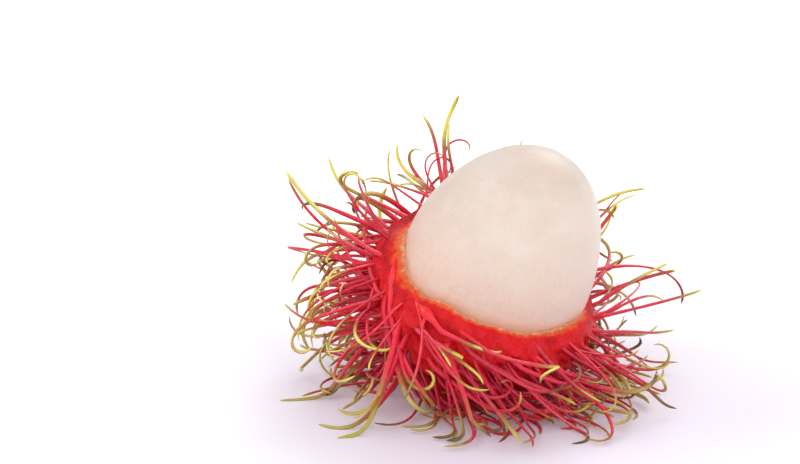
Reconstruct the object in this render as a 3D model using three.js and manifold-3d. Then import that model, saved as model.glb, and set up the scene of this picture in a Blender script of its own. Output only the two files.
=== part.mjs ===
// A half-peeled rambutan: a leathery cup of rind with soft curving spines, and the smooth white aril
// that stands out of it. Millimetres, +Z up. The fruit lies leaning over on a small flat spot, whose
// centre is the origin, and its peeled end points up and towards -Y.
import * as THREE from "three";
import { mergeVertices } from "three/addons/utils/BufferGeometryUtils.js";
import Module from "manifold-3d";

// Driving dimensions
const LEAN = THREE.MathUtils.degToRad(33); // of the fruit's axis away from the vertical
const HEADING = THREE.MathUtils.degToRad(-56); // the way it leans, from +X towards +Y
const RIND_RADIUS = 17; // outside, at its widest, which is the rim's plane
const RIND_DEPTH = 25; // from the rim's plane down to the hidden pole
const FLAT_DEPTH = 0.8; // how far the resting spot is pressed in
const FLAT_RADIUS = 5.6; // no spine leaves the rind nearer than this to the spot's centre
const ARIL_RADIUS = 14.4;
const ARIL_TOP = 21.6; // from the rim's plane up to the aril's tip
const ARIL_BOTTOM = 20.6; // and down to its hidden end
const ARIL_TAPER = 0.09; // how much slimmer the tip is than the hidden end
const ARIL_SKEW = 0.8; // how far the tip stands off the axis
const POCKET_GAP = 0.4; // between the aril and the rind's inside
const OUTER_EDGE = 2.7; // how far the torn face's outer edge lies below the tear
const INNER_EDGE = 1; // and its inner edge, against the aril
const RIM_HEIGHT = 1.4; // of the tear above the rim's plane, where nothing more is missing
const RIM_RIPPLE = 0.22;
// Where more of the rind came away with the peel: degrees round the rim, and millimetres down
const TEAR_DIPS = [
  { at: 47, wide: 11, deep: 0.3 },
  { at: 128, wide: 26, deep: 3 },
  { at: 186, wide: 27, deep: 5.3 },
  { at: 250, wide: 40, deep: 4.2 },
  { at: 328, wide: 30, deep: 4.8 },
];

const SPINES = 370; // places for spines on the whole cup
const TANGLED = 270; // left out as well, since it meets a neighbour edge to edge
const SPINE_LENGTH = [13, 22];
const CARRIED = 0.45; // the share of the other spines that the solid carries beside its props
const SPINE_ROOT = 1.25; // half width where a spine leaves the rind
const SPINE_SHAFT = 0.58; // half width a little further out
const SPINE_TIP = 0.26;
const ROOT_SHARE = 0.3; // of the length, over which the root narrows to the shaft
const CUP_RINGS = 11; // from pole to rim
const CUP_SEGMENTS = 32;
const BARE_BAND = [1.9, 4.2]; // below the tear, without spines
const SWAY = 0.95; // how far spines stray from straight out
const SWIRL = 0.2; // how far they all turn round the axis
const SWEEP = new THREE.Vector3(0.95, 0.45, -0.4); // how far those in front are swept aside
const LIFT = 0.4; // how far those at either side rise
const COMB = 0.12; // how far they all lean towards the hidden pole
const ARC = new THREE.Vector3(0, -1.6, 0); // what the low ones in front curve about
const BEND = [0, 0.06]; // radians a millimetre, all along a spine
const HOOK = [0.04, 0.7]; // and more at its tip
const TWIST = [-0.14, 0.14];
const DROOP = [-0.01, 0.075];
const GROWTH_STEPS = 18;
const ROOT_DEPTH = 1.5; // how deep a spine starts inside the rind
const PROP_EVERY = 5; // one spine in this many may bear on the surface below
const PROP_SINK = 0.4; // half widths from such a spine's middle to the surface
const FLOOR_CLEARANCE = 0.3; // under the others
const LAY = 3.2; // how much higher than that they may stay
const FLAT_CURL = 0.35; // how readily a spine that lies on the surface curls along it
const SPINE_SIDES = 3;
const SPINE_RINGS = [0, 0.3, 0.58, 0.8, 1]; // shares of the length, closer at the hook

const UP = new THREE.Vector3(0, 0, 1);
const AXIS = new THREE.Vector3(
  Math.sin(LEAN) * Math.cos(HEADING),
  Math.sin(LEAN) * Math.sin(HEADING),
  Math.cos(LEAN),
);

const QUARTER = Math.PI / 2;

const { lerp, smoothstep, euclideanModulo } = THREE.MathUtils;
const { Mesh: SolidMesh, Manifold } = await loadSolids();

async function loadSolids() {
  const wasm = await Module();
  wasm.setup();
  return wasm;
}

// A closed three.js geometry as a solid, and back.
function solidOf(geometry) {
  const bare = geometry.clone();
  bare.deleteAttribute("normal");
  bare.deleteAttribute("uv");
  const merged = mergeVertices(bare, 1e-4);
  return new Manifold(
    new SolidMesh({
      numProp: 3,
      vertProperties: merged.attributes.position.array,
      triVerts: new Uint32Array(merged.index.array),
    }),
  );
}

function geometryOf(solid) {
  const { vertProperties, triVerts } = solid.getMesh();
  const geometry = new THREE.BufferGeometry();
  geometry.setAttribute("position", new THREE.BufferAttribute(vertProperties, 3));
  geometry.setIndex(new THREE.BufferAttribute(triVerts, 1));
  geometry.computeVertexNormals();
  return geometry;
}

// A solid with the pockets filled that crossing spines shut in.
function withoutPockets(solid) {
  return solid.decompose().reduce((most, skin) => (skin.volume() > most.volume() ? skin : most));
}

// A number between 0 and 1 for one use on one spine, the same on every run.
function chance(index, use) {
  const wild = Math.sin(index * 12.9898 + use * 78.233) * 43758.5453;
  return wild - Math.floor(wild);
}

// The rim's centre. The rind is half an ellipsoid about AXIS, and this height sets its lowest point
// FLAT_DEPTH under the surface, above the origin.
function rimCentre() {
  const stretch = (RIND_DEPTH ** 2 - RIND_RADIUS ** 2) * AXIS.z;
  const support = AXIS.clone().multiplyScalar(stretch).addScaledVector(UP, RIND_RADIUS ** 2);
  support.divideScalar(Math.sqrt(support.z));
  return support.addScaledVector(UP, -FLAT_DEPTH);
}

const CENTRE = rimCentre();
const SETTLE = new THREE.Matrix4().compose(
  CENTRE,
  new THREE.Quaternion().setFromUnitVectors(new THREE.Vector3(0, 1, 0), AXIS),
  new THREE.Vector3(1, 1, 1),
);

// A point on half an egg's outline, turning from its lower end (0) to its upper end (half a turn):
// distance from the axis and height.
function eggPoint(turn, grow) {
  const length = turn < QUARTER ? ARIL_BOTTOM : ARIL_TOP;
  const radius = ARIL_RADIUS * (1 + ARIL_TAPER * Math.cos(turn)) + grow;
  return new THREE.Vector2(Math.max(0, radius * Math.sin(turn)), -(length + grow) * Math.cos(turn));
}

function arilGeometry() {
  const outline = [];
  for (let i = 0; i <= 2 * CUP_RINGS; i++) outline.push(eggPoint((QUARTER * i) / CUP_RINGS, 0));
  const geometry = new THREE.LatheGeometry(outline, CUP_SEGMENTS);
  const place = geometry.attributes.position;
  for (let i = 0; i < place.count; i++) {
    const rise = Math.max(0, place.getY(i) / ARIL_TOP);
    place.setX(i, place.getX(i) + ARIL_SKEW * rise ** 2);
  }
  return geometry;
}

// How far the tear stands above or below the rim's plane, round the fruit.
function tear(angle) {
  let height = RIM_HEIGHT + RIM_RIPPLE * (Math.sin(7 * angle + 1.3) + Math.sin(12 * angle)) / 2;
  for (const { at, wide, deep } of TEAR_DIPS) {
    const away = euclideanModulo(THREE.MathUtils.radToDeg(angle) - at + 180, 360) - 180;
    height -= deep * Math.exp(-((away / wide) ** 2));
  }
  return height;
}

// The rind without spines: out from the pole, up the ellipsoid, over the torn face and down inside.
function cupGeometry() {
  const outline = [];
  const outerTurn = Math.acos(OUTER_EDGE / RIND_DEPTH);
  for (let i = 0; i <= CUP_RINGS; i++) {
    const turn = (outerTurn * i) / CUP_RINGS;
    outline.push(new THREE.Vector2(RIND_RADIUS * Math.sin(turn), -RIND_DEPTH * Math.cos(turn)));
  }
  const innerTurn = Math.acos(INNER_EDGE / ARIL_BOTTOM);
  for (let i = CUP_RINGS; i >= 0; i--) {
    outline.push(eggPoint((innerTurn * i) / CUP_RINGS, POCKET_GAP));
  }
  const geometry = new THREE.LatheGeometry(outline, CUP_SEGMENTS);
  const place = geometry.attributes.position;
  for (let i = 0; i < place.count; i++) {
    const [x, y, z] = [place.getX(i), place.getY(i), place.getZ(i)];
    const near = smoothstep(y, -0.4 * RIND_DEPTH, -INNER_EDGE);
    place.setY(i, y + near * tear(Math.atan2(z, x)));
  }
  return geometry;
}

// Where a spine leaves the rind, how far that is above the tear, and which way is straight out.
function rootOf(index) {
  const golden = Math.PI * (3 - Math.sqrt(5));
  const angle = index * golden + (chance(index, 1) - 0.5) * 0.22;
  const height = -RIND_DEPTH * ((index + 0.5 + (chance(index, 2) - 0.5) * 1.6) / SPINES);
  const round = Math.sqrt(Math.max(0, 1 - (height / RIND_DEPTH) ** 2));
  const local = new THREE.Vector3(
    RIND_RADIUS * round * Math.cos(angle),
    height,
    RIND_RADIUS * round * Math.sin(angle),
  );
  const out = new THREE.Vector3(
    local.x / RIND_RADIUS ** 2,
    local.y / RIND_DEPTH ** 2,
    local.z / RIND_RADIUS ** 2,
  );
  return {
    height: height - tear(Math.atan2(local.z, local.x)),
    root: local.applyMatrix4(SETTLE),
    normal: out.transformDirection(SETTLE),
  };
}

// Moves a point that lies too near the fruit's body straight out from its centre.
function keepOutside(point) {
  const arm = point.clone().sub(CENTRE);
  const along = arm.dot(AXIS);
  const across = Math.sqrt(Math.max(0, arm.lengthSq() - along ** 2));
  const reach = Math.hypot(along / (RIND_DEPTH + SPINE_ROOT), across / (RIND_RADIUS + SPINE_ROOT));
  if (reach < 1) point.copy(CENTRE).addScaledVector(arm, 1 / reach);
}

// The height that a spine lying on the surface below keeps. Those that bear on it sink in a little.
function restHeight(index, share) {
  if (index % PROP_EVERY === 0) return PROP_SINK * halfWidth(share);
  return halfWidth(share) + FLOOR_CLEARANCE + LAY * chance(index, 9) ** 2.5 * smoothstep(share, 0, 0.5);
}

// The way a spine sets out.
function wayOut(normal, sway) {
  return normal
    .clone()
    .addScaledVector(sway, SWAY)
    .addScaledVector(AXIS.clone().cross(normal), SWIRL)
    .addScaledVector(AXIS, -COMB)
    .addScaledVector(SWEEP, Math.sqrt(Math.max(0, -normal.y)))
    .addScaledVector(UP, LIFT * Math.abs(normal.x))
    .normalize();
}

function lengthOf(index) {
  return lerp(...SPINE_LENGTH, chance(index, 3));
}

// One spine's line: it bends and droops a little, and hooks at its tip. What would go through the
// surface below lies along it.
function growSpine(index) {
  const { height, root, normal } = rootOf(index);
  const step = lengthOf(index) / GROWTH_STEPS;
  const sway = new THREE.Vector3(chance(index, 4), chance(index, 5), chance(index, 6)).subScalar(0.5);
  const bend = lerp(...BEND, chance(index, 14));
  const hook = lerp(...HOOK, chance(index, 7) ** 1.3);
  const droop = lerp(...DROOP, chance(index, 8));
  const twist = lerp(...TWIST, chance(index, 10));
  const direction = wayOut(normal, sway);
  const low = Math.sqrt(Math.max(0, -normal.z) * Math.max(0, -normal.y));
  const hookAxis = direction.clone().cross(sway.addScaledVector(UP, -0.2)).normalize();
  hookAxis.addScaledVector(ARC, low).normalize();
  const points = [root.clone().addScaledVector(normal, -ROOT_DEPTH), root];
  const place = root.clone();
  for (let i = 1; i <= GROWTH_STEPS; i++) {
    const share = i / GROWTH_STEPS;
    const turn = (bend + hook * smoothstep(share, 0.5, 1)) * step;
    const rest = restHeight(index, share);
    if (place.z < rest + FLOOR_CLEARANCE) {
      hookAxis.addScaledVector(UP, Math.sign(hookAxis.z) * FLAT_CURL).normalize();
    }
    direction.applyAxisAngle(hookAxis.applyAxisAngle(direction, twist * step), turn);
    direction.addScaledVector(UP, -droop * share * step);
    direction.z = Math.max(direction.z, (rest - place.z) / step);
    place.addScaledVector(direction.normalize(), step);
    keepOutside(place);
    place.z = Math.max(place.z, rest);
    points.push(place.clone());
  }
  return { height, root, line: new THREE.CatmullRomCurve3(points) };
}

function halfWidth(share) {
  if (share < ROOT_SHARE) return lerp(SPINE_ROOT, SPINE_SHAFT, smoothstep(share, 0, ROOT_SHARE));
  return lerp(SPINE_SHAFT, SPINE_TIP, (share - ROOT_SHARE) / (1 - ROOT_SHARE));
}

// A straight spine bent along its line: each ring of the cylinder goes to its place on the curve.
function spineGeometry(line) {
  const rings = SPINE_RINGS.length - 1;
  const straight = new THREE.CylinderGeometry(1, 1, 1, SPINE_SIDES, rings);
  const place = straight.attributes.position;
  const side = line.getTangent(0).cross(UP).normalize();
  const sections = SPINE_RINGS.map((share) => {
    const tangent = line.getTangentAt(share);
    side.addScaledVector(tangent, -side.dot(tangent)).normalize();
    return {
      centre: line.getPointAt(share),
      width: halfWidth(share),
      side: side.clone(),
      other: tangent.cross(side),
    };
  });
  for (let i = 0; i < place.count; i++) {
    const { centre, width, side, other } = sections[Math.round((place.getY(i) + 0.5) * rings)];
    const point = centre
      .clone()
      .addScaledVector(side, place.getX(i) * width)
      .addScaledVector(other, -place.getZ(i) * width);
    place.setXYZ(i, point.x, point.y, point.z);
  }
  return straight;
}

function rindGeometry() {
  let rind = solidOf(cupGeometry().applyMatrix4(SETTLE));
  for (let i = 0; i < SPINES; i++) {
    if (i === TANGLED) continue;
    if (i % PROP_EVERY !== 0 && chance(i, 15) > CARRIED) continue;
    const { height, root, line } = growSpine(i);
    const onFlat = Math.hypot(root.x, root.y) < FLAT_RADIUS && root.z < FLAT_RADIUS / 2;
    const clearOfTear = height < -lerp(...BARE_BAND, chance(i, 13));
    if (clearOfTear && !onFlat) rind = rind.add(solidOf(spineGeometry(line)));
  }
  const size = 4 * RIND_DEPTH;
  const below = new THREE.BoxGeometry(size, size, size).translate(0, 0, -size / 2);
  return geometryOf(withoutPockets(rind.subtract(solidOf(below))));
}

const rindMaterial = new THREE.MeshStandardMaterial({ color: 0xd8141c, roughness: 0.55, metalness: 0 });
const arilMaterial = new THREE.MeshStandardMaterial({ color: 0xf2ddd0, roughness: 0.35, metalness: 0 });

const rind = new THREE.Mesh(rindGeometry(), rindMaterial);
rind.name = "rind";

const aril = new THREE.Mesh(arilGeometry(), arilMaterial);
aril.name = "aril";
aril.position.copy(CENTRE);
aril.quaternion.setFromUnitVectors(new THREE.Vector3(0, 1, 0), AXIS);

const rambutan = new THREE.Group();
rambutan.add(rind, aril);

export default rambutan;
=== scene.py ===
import math

import bpy
import numpy as np
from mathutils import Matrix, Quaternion, Vector, noise


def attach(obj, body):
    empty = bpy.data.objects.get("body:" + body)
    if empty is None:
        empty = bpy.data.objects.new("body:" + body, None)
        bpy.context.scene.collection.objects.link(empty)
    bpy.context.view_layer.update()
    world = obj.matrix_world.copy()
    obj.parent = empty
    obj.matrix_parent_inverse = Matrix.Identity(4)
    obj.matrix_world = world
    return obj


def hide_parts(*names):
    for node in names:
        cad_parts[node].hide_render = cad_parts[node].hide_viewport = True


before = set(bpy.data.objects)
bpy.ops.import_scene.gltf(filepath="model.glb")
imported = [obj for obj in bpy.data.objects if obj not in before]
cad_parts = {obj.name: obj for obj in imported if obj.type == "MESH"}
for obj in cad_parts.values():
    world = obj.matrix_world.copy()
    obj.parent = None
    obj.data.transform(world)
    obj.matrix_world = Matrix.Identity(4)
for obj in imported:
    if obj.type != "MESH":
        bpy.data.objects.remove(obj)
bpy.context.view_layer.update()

# In the tables lengths are millimetres and angles degrees, unless a note says otherwise.

# How the fruit lies and how big its body is
fruit = {
    "lean": 33,
    "heading": -56,
    "rindRadius": 17,
    "rindDepth": 25,
    "flatDepth": 0.8,
    "outerEdge": 2.7,
    "innerEdge": 1.0,
    "flatRadius": 5.6,
}

# The torn rim: its height over the rim's plane, and where more came away (degrees, width, depth)
tear = {
    "height": 1.4,
    "ripple": 0.22,
    "dips": (
        (47, 11, 0.3),
        (128, 26, 3.0),
        (186, 27, 5.3),
        (250, 40, 4.2),
        (328, 30, 4.8),
    ),
    "ragged": 0.4,
    "lip": 0.52,
    "bands": ((145, 34, 1.2), (15, 30, 0.4)),
}

mm = 0.001
up = Vector((0, 0, 1))
lean, heading = math.radians(fruit["lean"]), math.radians(fruit["heading"])
axis = Vector(
    (
        math.sin(lean) * math.cos(heading),
        math.sin(lean) * math.sin(heading),
        math.cos(lean),
    )
)


def mix(low, high, share):
    return low + (high - low) * share


def smoothstep(value, low, high):
    share = min(max((value - low) / (high - low), 0), 1)
    return share * share * (3 - 2 * share)


def softStep(values, low, high):
    share = np.clip((values - low) / (high - low), 0, 1)
    return share * share * (3 - 2 * share)


# A number between 0 and 1 for one use on one spine, the same on every run
def chance(index, use):
    wild = math.sin(index * 12.9898 + use * 78.233) * 43758.5453
    return wild - math.floor(wild)


# The middle of the rim, at the height that presses the flat spot into the rind
def rimCentre():
    radius, depth = fruit["rindRadius"], fruit["rindDepth"]
    support = axis * (depth**2 - radius**2) * axis.z + up * radius**2
    support /= math.sqrt(support.z)
    return support - up * fruit["flatDepth"]


centre = rimCentre()
settle = Vector((0, 1, 0)).rotation_difference(axis)
settleRows = np.array(settle.to_matrix())


# From the fruit's own space, where y runs along its axis, to where it lies, in millimetres
def settled(points):
    return points @ settleRows.T + np.array(centre)


# How high the torn rim stands at these angles round the axis
def tearAt(angles):
    waves = (np.sin(7 * angles + 1.3) + np.sin(12 * angles)) / 2
    height = tear["height"] + tear["ripple"] * waves
    for at, wide, deep in tear["dips"]:
        away = (np.degrees(angles) - at + 180) % 360 - 180
        height = height - deep * np.exp(-((away / wide) ** 2))
    return height


# How far below the torn rim a point lies
def belowRim(point):
    local = settle.inverted() @ (point - centre)
    return tearAt(math.atan2(local.z, local.x)) - local.y


# How wide the torn band is round the rim
def lipAt(angles):
    width = tear["lip"]
    for at, wide, more in tear["bands"]:
        away = (np.degrees(angles) - at + 180) % 360 - 180
        width = width + more * np.exp(-((away / wide) ** 2))
    return width


# The spines: where they stand, how they grow and how thick they are
spines = {
    "count": 370,  # over the whole rind, before the bare band and the flat spot are left out
    "stray": (0.22, 1.6),  # of a root: in radians round the rind, and in places up or down it
    "length": (13, 22),
    "rootWidth": 1.25,
    "shaftWidth": 0.58,
    "tipWidth": 0.26,
    "slimmer": 0.93,
    "slimmerRoot": 0.74,
    "rootShare": 0.3,
    "bareBand": (1.9, 4.2),
    "sway": 0.95,  # how far a spine's way strays from straight out
    "swirl": 0.2,
    "sweep": (0.95, 0.45, -0.4),
    "lift": 0.4,
    "comb": 0.12,
    "arc": (0, -1.6, 0),
    "bend": (0.0, 0.06),  # this and the next three are for each millimetre of length
    "hook": (0.04, 0.7),
    "droop": (-0.01, 0.075),
    "twist": (-0.14, 0.14),
    "steps": 18,
    "rootDepth": 1.5,
    "rootTrail": 5.2,
    "rootSink": 0.95,
    "rootBelowRim": 1.0,
    "propEvery": 5,  # one spine in this many bears on the floor
    "propSink": 0.4,
    "clearance": 0.3,
    "lay": 3.2,
    "flatCurl": 0.35,
    "easing": 4,  # rounds of easing a bend below these heights
    "easeBelow": (2, 5),
    "flatness": 0.66,
    "rings": 38,
    "sides": 8,
}


# Where a spine stands: its height over the torn rim, its root, and the way straight out
def rootOf(index):
    radius, depth = fruit["rindRadius"], fruit["rindDepth"]
    golden = math.pi * (3 - math.sqrt(5))
    aside, downward = spines["stray"]
    angle = index * golden + (chance(index, 1) - 0.5) * aside
    height = -depth * (index + 0.5 + (chance(index, 2) - 0.5) * downward) / spines["count"]
    roundness = math.sqrt(max(0, 1 - (height / depth) ** 2))
    local = Vector(
        (
            radius * roundness * math.cos(angle),
            height,
            radius * roundness * math.sin(angle),
        )
    )
    out = Vector((local.x / radius**2, local.y / depth**2, local.z / radius**2))
    edge = tearAt(math.atan2(local.z, local.x))
    return height - edge, settle @ local + centre, (settle @ out).normalized()


# The height that a spine lying on the floor keeps: one in a few bears on it, sunk in a little,
# and the others stay just clear
def restHeight(index, share):
    if index % spines["propEvery"] == 0:
        return spines["propSink"] * halfWidth(share)
    lift = spines["lay"] * chance(index, 9) ** 2.5 * smoothstep(share, 0, 0.5)
    return halfWidth(share) + spines["clearance"] + lift


# Moves a point that lies too near the fruit's body straight out from its centre
def keptOutside(point):
    arm = point - centre
    along = arm.dot(axis)
    across = math.sqrt(max(0, arm.length_squared - along**2))
    room = spines["rootWidth"]
    reach = math.hypot(
        along / (fruit["rindDepth"] + room), across / (fruit["rindRadius"] + room)
    )
    return centre + arm / reach if reach < 1 else point


# How thick a spine is at a share of its length, from its middle out
def halfWidth(share):
    narrow = spines["rootShare"]
    if share < narrow:
        return mix(
            spines["rootWidth"], spines["shaftWidth"], smoothstep(share, 0, narrow)
        )
    return mix(spines["shaftWidth"], spines["tipWidth"], (share - narrow) / (1 - narrow))


# One spine's line: it leaves nearly straight out, droops, and hooks at its tip. What would go
# through the surface below lies along it.
def growSpine(index, shorter=1):
    height, root, normal = rootOf(index)
    step = shorter * mix(*spines["length"], chance(index, 3)) / spines["steps"]
    sway = Vector(chance(index, use) - 0.5 for use in (4, 5, 6))
    bend = mix(*spines["bend"], chance(index, 14))
    hook = mix(*spines["hook"], chance(index, 7) ** 1.3)
    droop = mix(*spines["droop"], chance(index, 8))
    twist = mix(*spines["twist"], chance(index, 10))
    bent = axis.cross(normal) * spines["swirl"] - axis * spines["comb"]
    bent += Vector(spines["sweep"]) * math.sqrt(max(0, -normal.y))
    bent += up * spines["lift"] * abs(normal.x)
    direction = (normal + sway * spines["sway"] + bent).normalized()
    hookAxis = direction.cross(sway - up * 0.2).normalized()
    low = math.sqrt(max(0, -normal.z) * max(0, -normal.y))
    hookAxis = (hookAxis + Vector(spines["arc"]) * low).normalized()
    points = [root - normal * spines["rootDepth"], root]
    place = root.copy()
    for i in range(1, spines["steps"] + 1):
        share = i / spines["steps"]
        turn = (bend + hook * smoothstep(share, 0.5, 1)) * step
        rest = restHeight(index, share)
        if place.z < rest + spines["clearance"]:
            hookAxis.z += math.copysign(spines["flatCurl"], hookAxis.z)
            hookAxis.normalize()
        hookAxis = Quaternion(direction, twist * step) @ hookAxis
        direction = Quaternion(hookAxis, turn) @ direction
        direction = direction - up * droop * share * step
        direction.z = max(direction.z, (rest - place.z) / step)
        direction.normalize()
        place = keptOutside(place + direction * step)
        place.z = max(place.z, rest)
        points.append(place.copy())
    return height, root, points


# Eases a line's bends where it comes down on the floor
def easedAtFloor(points):
    for _ in range(spines["easing"]):
        eased = [points[0]]
        for before, point, after in zip(points, points[1:], points[2:]):
            nearFloor = 1 - smoothstep(point.z, *spines["easeBelow"])
            eased.append(point + ((before + after) / 2 - point) * nearFloor / 2)
        points = [*eased, points[-1]]
    return points


# The spines at these places that stand clear of the flat spot and the torn rim
def spinesAt(places, bareBand, shorter=1):
    grown = []
    for index in places:
        height, root, points = growSpine(index, shorter)
        points = easedAtFloor(points)
        onFlat = (
            math.hypot(root.x, root.y) < fruit["flatRadius"]
            and root.z < fruit["flatRadius"] / 2
        )
        if height < -mix(*bareBand, chance(index, 13)) and not onFlat:
            way = (points[5] - points[3]).normalized()
            grown.append({"index": index, "root": root, "way": way, "points": points})
    return grown


# The finer, shorter spines that stand between those
fineSpines = {
    "share": 0.75,
    "shorter": 0.8,
    "slimmer": 0.62,
    "slimmerRoot": 0.55,
    "bareBand": (1.2, 2.7),
    "rings": 32,
    "sides": 6,
}


# Places halfway between the larger spines
def finePlaces():
    halfway = [index + 0.5 for index in range(spines["count"])]
    return [place for place in halfway if chance(place, 16) < fineSpines["share"]]


# One node socket that can be used in sums, and from which other nodes are made
class Wire:
    def __init__(self, tree, socket=None):
        self.tree, self.socket = tree, socket

    def node(self, kind, settings=None, inputs=None, output=0):
        made = self.tree.nodes.new(kind)
        for name, value in (settings or {}).items():
            setattr(made, name, value)
        for name, value in (inputs or {}).items():
            self.feed(made.inputs[name], value)
        return Wire(self.tree, made.outputs[output])

    def feed(self, socket, value):
        if isinstance(value, Wire):
            self.tree.links.new(value.socket, socket)
        else:
            socket.default_value = value

    def math(self, operation, *others):
        inputs = dict(enumerate((self, *others)))
        return self.node("ShaderNodeMath", {"operation": operation}, inputs)

    def constant(self, value):
        return self.node("ShaderNodeMath", {"operation": "ADD"}, {0: value, 1: 0.0})

    def __add__(self, other):
        return self.math("ADD", other)

    def __sub__(self, other):
        return self.math("SUBTRACT", other)

    def __mul__(self, other):
        return self.math("MULTIPLY", other)

    def __truediv__(self, other):
        return self.math("DIVIDE", other)

    def __rsub__(self, other):
        return self.constant(other).math("SUBTRACT", self)

    __radd__, __rmul__ = __add__, __mul__

    # 0 below low, 1 above high, smooth between
    def between(self, low, high):
        inputs = {"Value": self, "From Min": low, "From Max": high}
        return self.node(
            "ShaderNodeMapRange", {"interpolation_type": "SMOOTHSTEP"}, inputs
        )

    def vector(self, operation, other):
        inputs = {0: self, 1: other}
        return self.node("ShaderNodeVectorMath", {"operation": operation}, inputs)

    def noise(self, scale, detail=3, roughness=0.5, distortion=0):
        inputs = {
            "Vector": self,
            "Scale": scale,
            "Detail": detail,
            "Roughness": roughness,
            "Distortion": distortion,
        }
        return self.node("ShaderNodeTexNoise", None, inputs)

    # This wire as the factor between two colours, which are the mix node's inputs 6 and 7
    def colour(self, low, high):
        inputs = {0: self, 6: asColour(low), 7: asColour(high)}
        return self.node("ShaderNodeMix", {"data_type": "RGBA"}, inputs, 2)

    def bump(self, distance, strength):
        inputs = {"Height": self, "Distance": distance, "Strength": strength}
        return self.node("ShaderNodeBump", None, inputs)


def asColour(value):
    return value if isinstance(value, Wire) else (*value, 1)


# A material with these constants on its shader, whose lengths are metres
def newMaterial(name, constants):
    material = bpy.data.materials.new(name)
    material.use_nodes = True
    shader = material.node_tree.nodes["Principled BSDF"]
    for socket, value in constants.items():
        shader.inputs[socket].default_value = value
    return material, Wire(material.node_tree), shader


def attribute(wire, name):
    return wire.node("ShaderNodeAttribute", {"attribute_name": name}, None, "Fac")


def objectSpace(wire):
    return wire.node("ShaderNodeTexCoord", None, None, "Object")


def partOf(place, letter):
    return place.node("ShaderNodeSeparateXYZ", None, {0: place}, letter)


# Millimetres in the fruit's own space, where y runs along its axis
def fruitSpace(wire, stretch=(1, 1, 1)):
    inputs = {
        "Vector": objectSpace(wire),
        "Location": centre * mm,
        "Rotation": settle.to_euler(),
        "Scale": (mm, mm, mm),
    }
    local = wire.node("ShaderNodeMapping", {"vector_type": "TEXTURE"}, inputs)
    return local.vector("MULTIPLY", stretch)


# Colours are linear red, green and blue
fleshColours = {
    "clear": (0.76, 0.636, 0.556),
    "milky": (0.787, 0.682, 0.61),
    # The next colour is painted warm bounce light from the red rind and painted shade, darker
    # towards the bottom
    "low": (0.775, 0.56, 0.45),
    "vein": (0.86, 0.76, 0.69),
    "stain": (0.90, 0.42, 0.24),  # where it touched the rind
}


def fleshMaterial():
    material, wire, shader = newMaterial(
        "flesh",
        {
            "Subsurface Weight": 0.85,
            "Subsurface Radius": (1.0, 0.55, 0.4),
            "Subsurface Scale": 0.0042,
            "Specular IOR Level": 0.26,
            "Coat Roughness": 0.24,
            "Coat IOR": 1.36,
        },
    )
    tones, place = fleshColours, fruitSpace(wire)
    along = fruitSpace(wire, (1, 0.16, 1))
    height = partOf(place, "Y")
    cloud = place.noise(0.16, 4, 0.55)
    veins = along.noise(1.0, 5, 0.6, 0.4)
    thin = veins.math("SUBTRACT", 0.5).math("ABSOLUTE").between(0.0, 0.05)
    # Painted warm bounce light from the rind and painted shade: the flesh turns to the low colour
    # towards its bottom
    warm = height.between(15.0, -1.5)
    pale = cloud.between(0.36, 0.66).colour(tones["clear"], tones["milky"])
    paintedBounce = (warm * 0.85).colour(pale, tones["low"])
    veined = ((1 - thin) * 0.2).colour(paintedBounce, tones["vein"])
    above = attribute(wire, "above") + (cloud - 0.5) * 1.2
    stained = ((1 - above.between(0.4, 2.6)) * 0.6).colour(veined, tones["stain"])
    wire.feed(shader.inputs["Base Color"], stained)
    wire.feed(shader.inputs["Roughness"], cloud.between(0.3, 0.7) * 0.12 + 0.42)
    wire.feed(shader.inputs["Coat Weight"], cloud.between(0.4, 0.62) * 0.22 + 0.08)
    relief = veins * 0.18 + place.noise(0.4, 4, 0.6) * 1.3 + place.noise(3.0, 3) * 0.08
    wire.feed(shader.inputs["Normal"], relief.bump(0.0007, 0.5))
    return material


rindColours = {
    "bright": (0.86, 0.004, 0.008),
    "dull": (0.68, 0.003, 0.011),
    # The next colour is painted shade in the hollows between the ridges
    "hollow": (0.30, 0.003, 0.014),
    "ridge": (0.80, 0.022, 0.035),
    "blush": (0.80, 0.035, 0.07),
    "fiery": (0.90, 0.03, 0.012),
    "speck": (0.26, 0.004, 0.012),
    "warm": (0.90, 0.045, 0.014),  # this and the next two lead up to the torn edge
    "glow": (0.90, 0.17, 0.055),
    "torn": (0.95, 0.47, 0.25),
}


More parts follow.
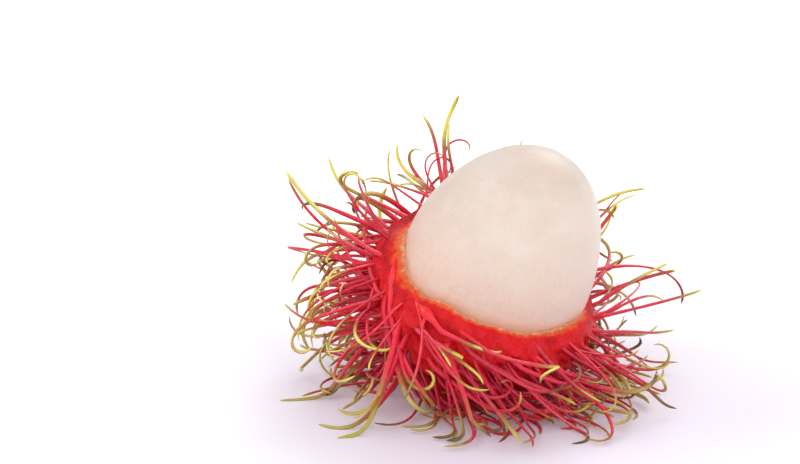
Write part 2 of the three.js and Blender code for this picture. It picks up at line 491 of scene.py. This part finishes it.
def rindMaterial():
    material, wire, shader = newMaterial(
        "rind",
        {
            "Subsurface Weight": 0.15,
            "Subsurface Radius": (1.0, 0.12, 0.06),
            "Subsurface Scale": 0.001,
            "Specular IOR Level": 0.16,
            "Coat Roughness": 0.35,
        },
    )
    tones, place = rindColours, fruitSpace(wire)
    streaks = fruitSpace(wire, (1, 0.18, 1)).noise(1.5, 5, 0.62)
    mottle = place.noise(0.35, 4, 0.6)
    grain = place.noise(2.6, 4, 0.6)
    lip, ridge = attribute(wire, "lip"), attribute(wire, "ridge")
    red = mottle.between(0.3, 0.7).colour(tones["bright"], tones["dull"])
    # Painted shade: the red darkens to the hollow colour between the ridges, away from the torn
    # band
    hollow = (1 - ridge.between(0.05, 0.55)) * mottle.between(0.25, 0.5)
    deep = (hollow * (1 - lip.between(0.0, 0.3)) * 0.65).colour(red, tones["hollow"])
    ridged = (ridge.between(0.5, 1.1) * 0.5).colour(deep, tones["ridge"])
    patches = place.noise(0.9, 3, 0.6)
    fine = place.noise(2.2, 3, 0.6)
    blushed = (patches.between(0.5, 0.72) * 0.55).colour(ridged, tones["blush"])
    fiery = (fine.between(0.52, 0.7) * 0.4).colour(blushed, tones["fiery"])
    specks = ((1 - fine.between(0.3, 0.38)) * 0.4).colour(fiery, tones["speck"])
    edge = lip + (streaks - 0.5) * 0.6 + (patches - 0.5) * 0.9
    warm = edge.between(0.15, 0.62).colour(specks, tones["warm"])
    glow = edge.between(0.34, 0.78).colour(warm, tones["glow"])
    torn = edge.between(0.74, 0.98).colour(glow, tones["torn"])
    wire.feed(shader.inputs["Base Color"], torn)
    wire.feed(shader.inputs["Roughness"], grain.between(0.3, 0.7) * 0.16 + 0.42)
    wire.feed(shader.inputs["Coat Weight"], (1 - lip.between(0.2, 0.7)) * 0.08)
    relief = grain * 0.5 + streaks * 0.7 + fine * 0.9 + patches * 0.8
    wire.feed(shader.inputs["Normal"], relief.bump(0.0006, 0.7))
    return material


spineColours = {
    "root": (0.92, 0.008, 0.018),
    "shaft": (0.88, 0.015, 0.06),
    # The next colour darkens some strands at random, and is painted shade near the floor
    "deep": (0.38, 0.003, 0.032),
    # The next colour is painted shade on the spines' undersides
    "under": (0.22, 0.003, 0.018),
    "lit": (0.96, 0.2, 0.24),
    "brown": (0.42, 0.17, 0.028),
    "green": (0.80, 0.73, 0.11),
    "yellow": (0.92, 0.80, 0.27),
    # The next colour is painted shade on the green tips, on their undersides and near the floor
    "shadedOlive": (0.33, 0.26, 0.035),
    "dried": (0.07, 0.022, 0.02),
}


def spineMaterial():
    material, wire, shader = newMaterial(
        "spine",
        {
            "Subsurface Weight": 0.35,
            "Subsurface Radius": (1.0, 0.3, 0.12),
            "Subsurface Scale": 0.0007,
            "Specular IOR Level": 0.35,
            "Coat Roughness": 0.16,
        },
    )
    along, strand = attribute(wire, "along"), attribute(wire, "strand")
    tones, place = spineColours, fruitSpace(wire)
    blotch = place.noise(0.7, 3, 0.55)
    other = (strand * 7.31).math("FRACT")
    third = (strand * 23.7).math("FRACT")
    upward = attribute(wire, "upward") + (blotch - 0.5) * 0.5
    metres = objectSpace(wire)
    # 1 near the floor: used for painted shade there, and to keep some low spines red longer
    low = 1 - partOf(metres, "Z").between(0.001, 0.013)
    red = along.between(0.12, 0.42).colour(tones["root"], tones["shaft"])
    # Some strands darker at random, and painted shade near the floor
    deep = (other.between(0.45, 0.9) * 0.5).math("MAXIMUM", low * 0.25)
    shaft = (deep * along.between(0.06, 0.22)).colour(red, tones["deep"])
    # Painted shade: the spines darker on their undersides, from the upward attribute
    under = (1 - upward.between(-0.7, 0.5)) * along.between(0.05, 0.2) * 0.52
    shaded = under.colour(shaft, tones["under"])
    topSide = upward.between(0.6, 1.1) * along.between(0.12, 0.3) * 0.85
    lit = topSide.colour(shaded, tones["lit"])
    across = partOf(metres, "X")
    sunny = across.between(-0.003, 0.003) * (1 - across.between(0.012, 0.018)) * low
    shift = along + (strand - 0.5) * 0.34 + (blotch - 0.5) * 0.12 - sunny * 0.2
    browned = shift.between(0.65, 0.82).colour(lit, tones["brown"])
    green = third.between(0.1, 0.9).colour(tones["green"], tones["yellow"])
    # Painted shade: green tips turn olive on their undersides and near the floor
    dim = (1 - upward.between(-0.6, 0.5)).math("MAXIMUM", low * 0.65)
    shadedOlive = dim.colour(green, tones["shadedOlive"])
    ripe = shift.between(0.755, 0.92).colour(browned, shadedOlive)
    dark = along.between(0.72, 1.0) * third.between(0.8, 0.84) * 0.85
    wire.feed(shader.inputs["Base Color"], dark.colour(ripe, tones["dried"]))
    wire.feed(shader.inputs["Roughness"], blotch.between(0.3, 0.7) * 0.14 + 0.2)
    wire.feed(shader.inputs["Coat Weight"], 0.42 - along.between(0.7, 1.0) * 0.2)
    relief = place.noise(1.3, 3, 0.5)
    wire.feed(shader.inputs["Normal"], relief.bump(0.0003, 0.25))
    return material


def fuzzMaterial():
    constants = {"Specular IOR Level": 0.2, "Roughness": 0.6}
    material, wire, shader = newMaterial("torn_fibre", constants)
    strand = attribute(wire, "strand")
    tone = strand.colour((0.96, 0.36, 0.15), (0.97, 0.68, 0.48))
    wire.feed(shader.inputs["Base Color"], tone)
    return material


def floorMaterial():
    material, wire, shader = newMaterial("floor", {"Roughness": 0.55, "Emission Strength": 0.35})
    place = objectSpace(wire)
    fromShade = place.vector("SUBTRACT", (0.012, 0, 0))  # the shaded part lies to the right
    distance = wire.node("ShaderNodeVectorMath", {"operation": "LENGTH"}, {0: fromShade}, "Value")
    behind = partOf(place, "Y").between(-0.02, 0.1)
    # Painted shadow round the fruit: the floor is lavender and glows less near it, and is white
    # away from it
    away = distance.between(0.028, 0.088).math("MAXIMUM", behind)
    base = away.colour((0.86, 0.81, 0.935), (0.96, 0.96, 0.97))
    wire.feed(shader.inputs["Base Color"], base)
    wire.feed(shader.inputs["Emission Color"], away.colour((0.3, 0.29, 0.32), (1, 1, 1)))
    return material


# A plain mesh object with its float attributes, from numbers in millimetres
def newPiece(name, points, faces, material, attributes=None, edges=()):
    mesh = bpy.data.meshes.new(name)
    mesh.from_pydata((np.asarray(points) * mm).tolist(), edges, faces)
    for key, values in (attributes or {}).items():
        layer = mesh.attributes.new(key, "FLOAT", "POINT")
        layer.data.foreach_set("value", np.asarray(values, dtype=np.float32))
    if faces:
        mesh.shade_smooth()
    if material:
        mesh.materials.append(material)
    piece = bpy.data.objects.new(name, mesh)
    bpy.context.scene.collection.objects.link(piece)
    return piece


# Faces of rings of points round the y axis, closed by one point at each end
def latheFaces(rings, segments):
    last = 1 + rings * segments
    faces = []
    for j in range(segments):
        k = (j + 1) % segments
        faces.append((0, 1 + j, 1 + k))
        faces.append((last, last - segments + k, last - segments + j))
    for i in range(rings - 1):
        low, high = 1 + i * segments, 1 + (i + 1) * segments
        for j in range(segments):
            k = (j + 1) % segments
            faces.append((low + j, high + j, high + k, low + k))
    return faces


# Points round the y axis for an outline of distances from it and heights; the first and the last
# lie on the axis. Gives the points, their angles, and which ring each belongs to.
def lathePoints(outline, segments):
    inner = outline[1:-1]
    turns = np.arange(segments) / segments * 2 * math.pi
    radius = np.repeat(inner[:, 0], segments)
    height = np.repeat(inner[:, 1], segments)
    angles = np.tile(turns, len(inner))
    ringOf = np.repeat(np.arange(1, len(inner) + 1), segments)
    points = np.stack([radius * np.cos(angles), height, radius * np.sin(angles)], axis=1)
    first, last = (0, outline[0, 1], 0), (0, outline[-1, 1], 0)
    points = np.vstack([first, points, last])
    angles = np.concatenate([[0], angles, [0]])
    ringOf = np.concatenate([[0], ringOf, [len(outline) - 1]])
    return points, angles, ringOf


# Smooth noise at each point, the same on every run
def noiseAt(points, scale, seed):
    shift = Vector((seed * 17.3, seed * 5.1, seed * 9.7))
    return np.array([noise.noise(Vector(p) * scale + shift) for p in points])


# The bare flesh
flesh = {
    "radius": 14.4,
    "top": 21.6,
    "bottom": 20.6,
    "taper": 0.09,
    "skew": 0.8,
    "segments": 256,
    "rings": 200,
    "lumps": 0.28,
}


# The flesh's outline from its bottom to its top: distances from the axis, and heights
def eggOutline(rings):
    turns = np.linspace(0, math.pi, rings + 2)
    length = np.where(turns < math.pi / 2, flesh["bottom"], flesh["top"])
    radius = flesh["radius"] * (1 + flesh["taper"] * np.cos(turns))
    return np.stack([radius * np.sin(turns), -length * np.cos(turns)], axis=1)


def makeFlesh(material):
    points, angles, ringOf = lathePoints(eggOutline(flesh["rings"]), flesh["segments"])
    rise = np.clip(points[:, 1] / flesh["top"], 0, None)
    out = points / np.linalg.norm(points, axis=1, keepdims=True)
    points[:, 0] += flesh["skew"] * rise**2
    lumps = noiseAt(points, 0.085, 1) + 0.35 * noiseAt(points, 0.3, 2)
    points += out * (flesh["lumps"] * lumps * softStep(points[:, 1], -1, 6))[:, None]
    faces = latheFaces(flesh["rings"], flesh["segments"])
    above = points[:, 1] - tearAt(angles) + fruit["innerEdge"]
    piece = newPiece("aril_flesh", settled(points), faces, material, {"above": above})
    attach(piece, "root")
    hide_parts("aril")
    return piece


# The rind's skin: the ridges that run down into the spines, and its own unevenness
skin = {
    "segments": 520,
    "rings": 150,
    "ridgeHeight": 1.25,
    "ridgeAbove": 4.8,
    "ridgeBelow": 1.1,
    "ridgeAcross": 0.55,
    "ridgeNear": 8,  # a ridge is worked out this far round its root
    "ridgeClimb": 0.35,
    "ridgeFade": (-4.2, -2.0),  # heights between which the ridges die away towards the rim
    "lumps": 0.45,
    "hollowDepth": 20.9,
}


# The rind's section: out from the pole, up the outside, over the torn edge, which slopes up to the
# flesh, and down inside
def rindOutline():
    radius, depth = fruit["rindRadius"], fruit["rindDepth"]
    low, high = -fruit["outerEdge"], -fruit["innerEdge"]
    outside = np.linspace(0, math.acos(-low / depth), skin["rings"] + 1)
    outer = np.stack([radius * np.sin(outside), -depth * np.cos(outside)], axis=1)
    innerRadius, hollow = flesh["radius"] - 0.1, skin["hollowDepth"]
    wide = outer[-1, 0] - innerRadius - 0.2
    turns = np.linspace(0, math.pi / 2, 22)[1:]
    slope = np.stack(
        [
            innerRadius + 0.2 + wide * np.cos(turns) ** 1.25,
            low + (high - low) * np.sin(turns) ** 1.1,
        ],
        axis=1,
    )
    edge = np.array([[innerRadius + 0.06, high - 0.05], [innerRadius, high - 0.22]])
    down = np.linspace(math.acos(-(high - 0.5) / hollow), 0, 14)
    inner = np.stack([innerRadius * np.sin(down), -hollow * np.cos(down)], axis=1)
    upTo = len(outer) + len(slope)
    return np.vstack([outer, slope, edge, inner]), upTo


# How high the ridges stand at each point of the outside. Each one runs up behind its spine's root,
# in line with the way the spine sets out.
def ridgesAt(points, roots):
    radius, depth = fruit["rindRadius"], fruit["rindDepth"]
    heights = np.zeros(len(points))
    for root, way, tall in roots:
        rel = points - root
        near = np.einsum("ij,ij->i", rel, rel) < skin["ridgeNear"] ** 2
        if not near.any():
            continue
        out = np.array([root[0] / radius**2, root[1] / depth**2, root[2] / radius**2])
        out /= np.linalg.norm(out)
        onward = way - out * (way @ out) - np.array([0, skin["ridgeClimb"], 0])
        onward -= out * (onward @ out)
        onward /= np.linalg.norm(onward)
        a, b = rel[near] @ onward, rel[near] @ np.cross(out, onward)
        reach = np.where(a < 0, skin["ridgeAbove"], skin["ridgeBelow"])
        wide = skin["ridgeAcross"] * (1 + 0.12 * np.clip(-a, 0, 6))
        shape = np.exp(-((a / reach) ** 2) - (b / wide) ** 2) * tall
        heights[near] = np.maximum(heights[near], shape) + 0.25 * np.minimum(
            heights[near], shape
        )
    return heights


def makeRind(material, grown, fine):
    outline, edgeRing = rindOutline()
    points, angles, ringOf = lathePoints(outline, skin["segments"])
    outside = ringOf < edgeRing
    radius, depth = fruit["rindRadius"], fruit["rindDepth"]
    back = np.array(settle.inverted().to_matrix())
    roots = []
    for spine in grown + fine:
        local = back @ (np.array(spine["root"]) - np.array(centre))
        way = back @ np.array(spine["way"])
        small = fineSpines["slimmer"] if spine["index"] % 1 else 1
        roots.append((local, way, small * mix(0.6, 1.25, chance(spine["index"], 11))))
    ridges = np.zeros(len(points))
    ridges[outside] = ridgesAt(points[outside], roots)
    fade = 1 - softStep(points[:, 1], *skin["ridgeFade"])
    out = np.stack(
        [points[:, 0] / radius**2, points[:, 1] / depth**2, points[:, 2] / radius**2],
        axis=1,
    )
    out /= np.linalg.norm(out, axis=1, keepdims=True)
    lumps = noiseAt(points, 0.3, 5) + 0.5 * noiseAt(points, 0.8, 6)
    swell = outside * fade * (ridges * skin["ridgeHeight"] + skin["lumps"] * lumps)
    arc = np.zeros(len(outline))
    arc[1:] = np.cumsum(np.linalg.norm(np.diff(outline, axis=0), axis=1))
    fromInner = (arc[edgeRing] - arc[ringOf]) / (2 * lipAt(angles))
    lip = np.where(outside, np.clip(1 - fromInner, 0, 1), 1)
    near = softStep(points[:, 1], -0.4 * depth, -fruit["innerEdge"])
    circle = np.stack([np.cos(angles), np.sin(angles), angles * 0], axis=1)
    rags = noiseAt(circle, 9, 7) + 0.7 * noiseAt(circle, 23, 8)
    rise = near * tearAt(np.arctan2(points[:, 2], points[:, 0]))
    rise += softStep(lip, 0.4, 0.95) * (ringOf <= edgeRing + 1) * rags * tear["ragged"]
    points = points + out * swell[:, None]
    points[:, 1] += rise
    world = settled(points)
    world[:, 2] = np.maximum(world[:, 2], 0)
    faces = latheFaces(len(outline) - 2, skin["segments"])
    marks = {"lip": lip, "ridge": ridges}
    piece = newPiece("rind_skin", world, faces, material, marks)
    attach(piece, "root")
    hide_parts("rind")
    first = 1 + (edgeRing - 2) * skin["segments"]
    return world[first : first + skin["segments"]]


# A geometry node group with named inputs, ready for its nodes
def newGroup(name, inputs):
    group = bpy.data.node_groups.new(name, "GeometryNodeTree")
    group.interface.new_socket("Geometry", in_out="OUTPUT", socket_type="NodeSocketGeometry")
    group.interface.new_socket("Geometry", in_out="INPUT", socket_type="NodeSocketGeometry")
    for label, kind in inputs.items():
        group.interface.new_socket(label, in_out="INPUT", socket_type="NodeSocket" + kind)
    entry = group.nodes.new("NodeGroupInput")
    return group, {s.name: Wire(group, s) for s in entry.outputs if s.name}


def endGroup(group, wire, material):
    real = wire.node("GeometryNodeRealizeInstances", None, {"Geometry": wire})
    smooth = wire.node("GeometryNodeSetShadeSmooth", None, {"Geometry": real})
    inputs = {"Geometry": smooth, "Material": material}
    done = wire.node("GeometryNodeSetMaterial", None, inputs)
    outlet = group.nodes.new("NodeGroupOutput")
    group.links.new(done.socket, outlet.inputs[0])


# Runs a node group on a guide object and keeps what it makes as a plain mesh
def builtPiece(name, guide, group, values):
    modifier = guide.modifiers.new(name, "NODES")
    modifier.node_group = group
    for item in group.interface.items_tree:
        if item.in_out == "INPUT" and item.name in values:
            modifier[item.identifier] = values[item.name]
    graph = bpy.context.evaluated_depsgraph_get()
    graph.update()
    mesh = bpy.data.meshes.new_from_object(
        guide.evaluated_get(graph), preserve_all_data_layers=True, depsgraph=graph
    )
    bpy.data.objects.remove(guide)
    mesh.name = name
    piece = bpy.data.objects.new(name, mesh)
    bpy.context.scene.collection.objects.link(piece)
    return piece


# Turns each line of the guide into a tapering, slightly flattened tube
def spineGroup():
    labels = {
        "Rings": "Int",
        "Sides": "Int",
        "Root width": "Float",
        "Shaft width": "Float",
        "Tip width": "Float",
        "Root share": "Float",
        "Flatness": "Float",
        "Material": "Material",
    }
    group, entry = newGroup("spine_tubes", labels)
    wire = entry["Geometry"]
    line = wire.node("GeometryNodeMeshToCurve", None, {"Mesh": wire})
    smooth = wire.node(
        "GeometryNodeCurveSplineType", {"spline_type": "CATMULL_ROM"}, {"Curve": line}
    )
    fine = wire.node(
        "GeometryNodeResampleCurve", None, {"Curve": smooth, "Count": entry["Rings"]}
    )
    share = wire.node("GeometryNodeSplineParameter")
    marked = wire.node(
        "GeometryNodeStoreNamedAttribute",
        {"data_type": "FLOAT", "domain": "POINT"},
        {"Geometry": fine, "Name": "along", "Value": share},
    )
    strand = wire.node("GeometryNodeInputNamedAttribute", None, {"Name": "strand"})
    place = wire.node("GeometryNodeInputPosition")
    root = 1 - (share / entry["Root share"]).between(0.0, 1.0)
    shaft = entry["Shaft width"] + (entry["Tip width"] - entry["Shaft width"]) * share
    wide = shaft + (entry["Root width"] - entry["Shaft width"]) * root
    uneven = place.noise(380.0, 2) * 0.5 + 0.75
    fat = strand * 0.45 + 0.8  # some spines are thicker than others
    pointed = (1 - share).between(-0.02, 0.05)
    entering = share.between(-0.02, 0.14)
    radius = wide * uneven * fat * pointed * entering
    tilt = strand * 31.0 + share * (strand - 0.5) * 5.0
    sized = wire.node(
        "GeometryNodeSetCurveTilt", None, {"Curve": marked, "Tilt": tilt}
    )
    circle = wire.node(
        "GeometryNodeCurvePrimitiveCircle", None, {"Resolution": entry["Sides"], "Radius": 1.0}
    )
    flat = wire.node(
        "ShaderNodeCombineXYZ", None, {0: 1.0, 1: entry["Flatness"], 2: 1.0}
    )
    oval = wire.node(
        "GeometryNodeTransform", None, {"Geometry": circle, "Scale": flat}
    )
    tube = wire.node(
        "GeometryNodeCurveToMesh",
        None,
        {"Curve": sized, "Profile Curve": oval, "Scale": radius, "Fill Caps": True},
    )
    endGroup(group, tube, entry["Material"])
    return group


def makeSpines(name, material, grown, look):
    points, edges, strand = [], [], []
    for spine in grown:
        start = len(points)
        inside, root, leave = spine["points"][0], spine["points"][1], spine["points"][3]
        # The line starts under the skin, as far back as it can without passing the rim
        sunk, trail = root.lerp(inside, spines["rootSink"]), spines["rootTrail"]
        while trail > 0.3 and belowRim(sunk - spine["way"] * trail) < spines["rootBelowRim"]:
            trail *= 0.8
        rise = sunk - spine["way"] * trail
        line = [rise.lerp(leave, third / 3) for third in range(3)] + spine["points"][3:]
        points += [tuple(p) for p in line]
        edges += [(k, k + 1) for k in range(start, len(points) - 1)]
        strand += [chance(spine["index"], 12)] * len(spine["points"])
    guide = newPiece("spine_lines", points, [], None, {"strand": strand}, edges)
    values = {
        "Rings": look["rings"],
        "Sides": look["sides"],
        "Root width": spines["rootWidth"] * look["slimmerRoot"] * mm,
        "Shaft width": spines["shaftWidth"] * look["slimmer"] * mm,
        "Tip width": spines["tipWidth"] * look["slimmer"] * mm,
        "Root share": spines["rootShare"],
        "Flatness": spines["flatness"],
        "Material": material,
    }
    piece = builtPiece(name, guide, spineGroup(), values)
    mesh = piece.data
    for vertex in mesh.vertices:
        vertex.co.z = max(vertex.co.z, 0)
    # How far each point faces up: the spine material paints shade on the undersides and a
    # highlight on top from it
    upward = mesh.attributes.new("upward", "FLOAT", "POINT")
    upward.data.foreach_set("value", [normal.vector.z for normal in mesh.vertex_normals])
    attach(piece, "root")
    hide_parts("rind")
    return piece


# The fuzz of torn fibres along the rim
fuzz = {"count": 1300, "length": 0.85, "width": 0.08, "seed": 11}


# Scatters small bent fibres along the guide's line
def fuzzGroup():
    labels = {
        "Count": "Int",
        "Length": "Float",
        "Width": "Float",
        "Lean": "Vector",
        "Seed": "Int",
        "Material": "Material",
    }
    group, entry = newGroup("torn_fibres", labels)
    wire = entry["Geometry"]
    seed = entry["Seed"]
    line = wire.node("GeometryNodeMeshToCurve", None, {"Mesh": wire})
    spread = wire.node(
        "GeometryNodeCurveToPoints", {"mode": "COUNT"}, {"Curve": line, "Count": entry["Count"]}
    )
    start = wire.node("ShaderNodeCombineXYZ", None, {2: entry["Length"] * -0.25})
    halfway = wire.node(
        "ShaderNodeCombineXYZ", None, {0: entry["Length"] * 0.12, 2: entry["Length"] * 0.45}
    )
    tip = wire.node(
        "ShaderNodeCombineXYZ", None, {0: entry["Length"] * 0.45, 2: entry["Length"] * 0.9}
    )
    fibre = wire.node(
        "GeometryNodeCurveQuadraticBezier",
        None,
        {"Resolution": 5, "Start": start, "Middle": halfway, "End": tip},
    )
    share = wire.node("GeometryNodeSplineParameter")
    circle = wire.node(
        "GeometryNodeCurvePrimitiveCircle", None, {"Resolution": 5, "Radius": entry["Width"]}
    )
    tube = wire.node(
        "GeometryNodeCurveToMesh",
        None,
        {"Curve": fibre, "Profile Curve": circle, "Scale": 1.1 - share, "Fill Caps": True},
    )
    stray = wire.node(
        "FunctionNodeRandomValue",
        {"data_type": "FLOAT_VECTOR"},
        {0: (-0.8, -0.8, -0.8), 1: (0.8, 0.8, 0.8), 8: seed},
    )
    way = entry["Lean"].vector("ADD", stray)
    turned = wire.node(
        "FunctionNodeAlignRotationToVector", {"axis": "Z"}, {"Vector": way}
    )
    spin = wire.node(
        "FunctionNodeRandomValue", {"data_type": "FLOAT"}, {2: 0.0, 3: 6.28, 8: seed + 1}, 1
    )
    about = wire.node("ShaderNodeCombineXYZ", None, {2: spin})
    rotated = wire.node(
        "FunctionNodeRotateRotation",
        {"rotation_space": "LOCAL"},
        {"Rotation": turned, "Rotate By": about},
    )
    grow = wire.node(
        "FunctionNodeRandomValue", {"data_type": "FLOAT"}, {2: 0.35, 3: 1.0, 8: seed + 2}, 1
    )
    placed = wire.node(
        "GeometryNodeInstanceOnPoints",
        None,
        {"Points": spread, "Instance": tube, "Rotation": rotated, "Scale": grow},
    )
    tone = wire.node(
        "FunctionNodeRandomValue", {"data_type": "FLOAT"}, {2: 0.0, 3: 1.0, 8: seed + 3}, 1
    )
    marked = wire.node(
        "GeometryNodeStoreNamedAttribute",
        {"data_type": "FLOAT", "domain": "INSTANCE"},
        {"Geometry": placed, "Name": "strand", "Value": tone},
    )
    endGroup(group, marked, entry["Material"])
    return group


def makeFuzz(material, loop):
    edges = [(k, (k + 1) % len(loop)) for k in range(len(loop))]
    guide = newPiece("edge_line", loop, [], None, None, edges)
    values = {
        "Count": fuzz["count"],
        "Length": fuzz["length"] * mm,
        "Width": fuzz["width"] * mm,
        "Lean": tuple(axis),
        "Seed": fuzz["seed"],
        "Material": material,
    }
    piece = builtPiece("rind_fibres", guide, fuzzGroup(), values)
    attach(piece, "root")
    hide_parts("rind")
    return piece


# The stage: the floor's half width, the light from all round, and the lamps, each with its
# place and disk size in metres and its power in watts
studio = {
    "floor": 1500,
    "around": 0.55,
    "middle": (0, 0, 0.02),
    "lamps": {
        "key": ((-0.25, -0.45, 0.45), 0.6, 0.84),
        "spark": ((0.16, -0.38, 0.58), 0.16, 0.34),
        "fill": ((0.45, -0.35, 0.3), 0.4, 0.42),
        "side": ((-0.5, 0.05, 0.4), 0.4, 0.8),
        "front": ((0.05, -0.6, 0.1), 0.35, 0.33),
        "rim": ((0.2, 0.45, 0.4), 0.4, 1.3),
    },
}


def addFloor():
    size = studio["floor"]
    corners = [(-size, -size, 0), (size, -size, 0), (size, size, 0), (-size, size, 0)]
    floor = newPiece("floor", corners, [(0, 1, 2, 3)], floorMaterial())


def addLamp(name, place, size, power):
    data = bpy.data.lights.new(name, "AREA")
    data.shape, data.size, data.energy = "DISK", size, power
    lamp = bpy.data.objects.new(name, data)
    lamp.location = place
    aim = Vector(studio["middle"]) - Vector(place)
    lamp.rotation_euler = aim.to_track_quat("-Z", "Y").to_euler()
    bpy.context.scene.collection.objects.link(lamp)


def addLights():
    world = bpy.data.worlds.new("studio")
    world.use_nodes = True
    background = world.node_tree.nodes["Background"]
    background.inputs["Color"].default_value = (1, 1, 1, 1)
    background.inputs["Strength"].default_value = studio["around"]
    bpy.context.scene.world = world
    for name, (place, size, power) in studio["lamps"].items():
        addLamp(name, place, size, power)
    bpy.context.scene.view_settings.view_transform = "Standard"


# Where the camera stands, and how far right of and below the view's middle the rim's centre is
view = {
    "elevation": 18,
    "distance": 450,
    "lens": 135,
    "right": 15.1,
    "below": 4.17,
}


def addCamera():
    elevation = math.radians(view["elevation"])
    toCamera = Vector((0, -math.cos(elevation), math.sin(elevation)))
    lift = Vector((0, math.sin(elevation), math.cos(elevation)))
    aim = centre - Vector((view["right"], 0, 0)) + lift * view["below"]
    data = bpy.data.cameras.new("camera")
    data.lens, data.sensor_width = view["lens"], 36
    data.clip_start, data.clip_end = 0.01, 10
    camera = bpy.data.objects.new("camera", data)
    camera.location = (aim + toCamera * view["distance"]) * mm
    camera.rotation_euler = (math.radians(90) - elevation, 0, 0)
    bpy.context.scene.collection.objects.link(camera)
    bpy.context.scene.camera = camera


addCamera()
addLights()
addFloor()
print("stage ready")
grown = spinesAt(range(spines["count"]), spines["bareBand"])
fine = spinesAt(finePlaces(), fineSpines["bareBand"], fineSpines["shorter"])
print("spines grown:", len(grown), "and finer ones:", len(fine))
makeFlesh(fleshMaterial())
print("flesh ready")
tornEdge = makeRind(rindMaterial(), grown, fine)
print("rind ready")
red = spineMaterial()
makeSpines("rind_spines", red, grown, spines)
makeSpines("rind_fine_spines", red, fine, fineSpines)
print("spines ready")
makeFuzz(fuzzMaterial(), tornEdge)
print("fibres ready")
